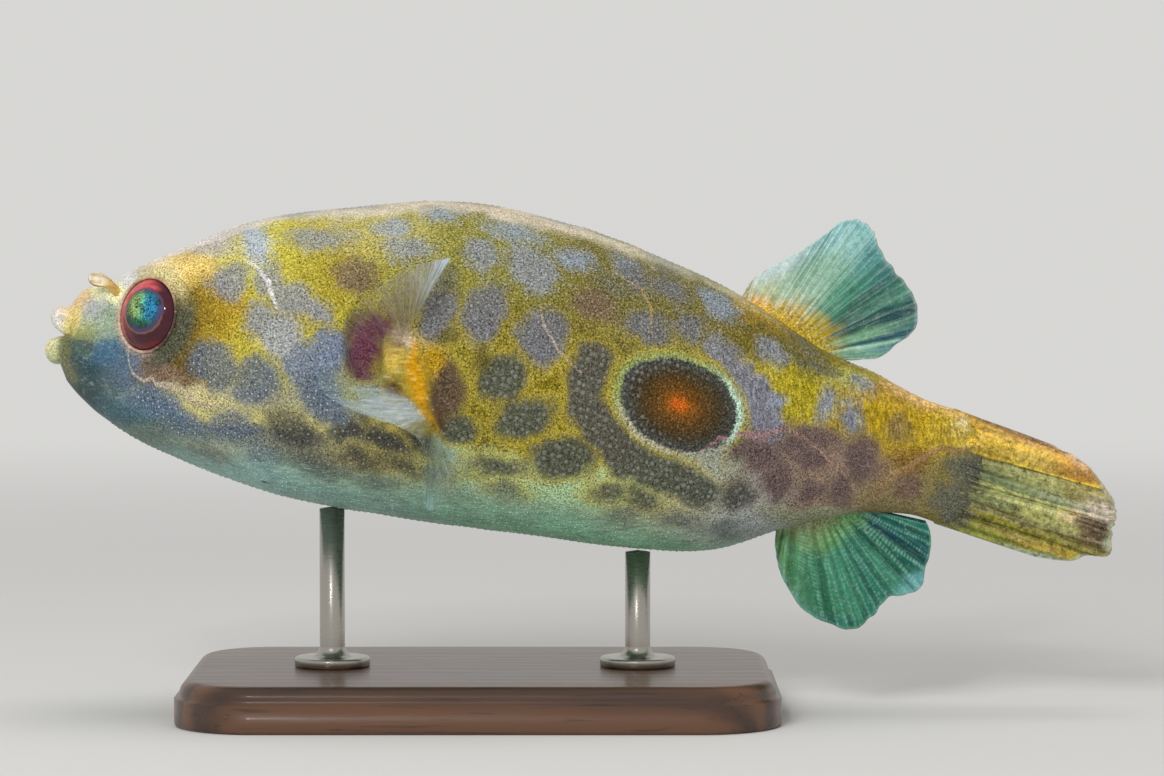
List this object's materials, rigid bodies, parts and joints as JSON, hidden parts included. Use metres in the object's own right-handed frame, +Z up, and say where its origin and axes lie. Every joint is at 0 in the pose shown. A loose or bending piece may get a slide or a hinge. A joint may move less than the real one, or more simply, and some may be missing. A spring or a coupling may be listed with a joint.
{
  "type": "freshwater pufferfish display model",
  "caption": "Life-size still model of a freshwater pufferfish, head slightly raised, fins spread and tail fin folded, held on two short rods over a plain rounded display base.",
  "frame": {"origin": "middle of the display base's underside, where the model rests", "axes": "+X from the fish's head towards its tail, +Y to the fish's right side, +Z up"},
  "size_m": [0.1191, 0.042, 0.0568],
  "materials": {
    "skin": "damp skin, yellow-olive with slate spots, pale grey-green below",
    "lips": "damp, cream",
    "nostrils": "damp, cream-yellow",
    "eyes": "glossy, red iris with a green-blue pupil",
    "dorsal_fin": "thin rayed membrane, pale teal with a yellow base",
    "anal_fin": "thin rayed membrane, teal green",
    "tail_fin": "folded rayed membrane, gold and brown",
    "fin_lobes": "damp, orange-yellow",
    "pectoral_fins": "thin rayed membrane, milky and see-through",
    "stand_base": "satin dark wood",
    "stand_rods": "brushed"
  },
  "bodies": {
    "root": {"head": "skin", "trunk": "skin", "tail": "skin", "upper_lip": "lips", "lower_lip": "lips", "nostril_left": "nostrils", "nostril_right": "nostrils", "eye_left": "eyes", "eye_right": "eyes", "dorsal_fin": "dorsal_fin", "anal_fin": "anal_fin", "tail_fin": "tail_fin", "pectoral_lobe_left": "fin_lobes", "pectoral_lobe_right": "fin_lobes", "pectoral_fin_left": "pectoral_fins", "pectoral_fin_right": "pectoral_fins", "stand_base": "stand_base", "stand_rod_front": "stand_rods", "stand_rod_rear": "stand_rods"}
  },
  "joints": []
}
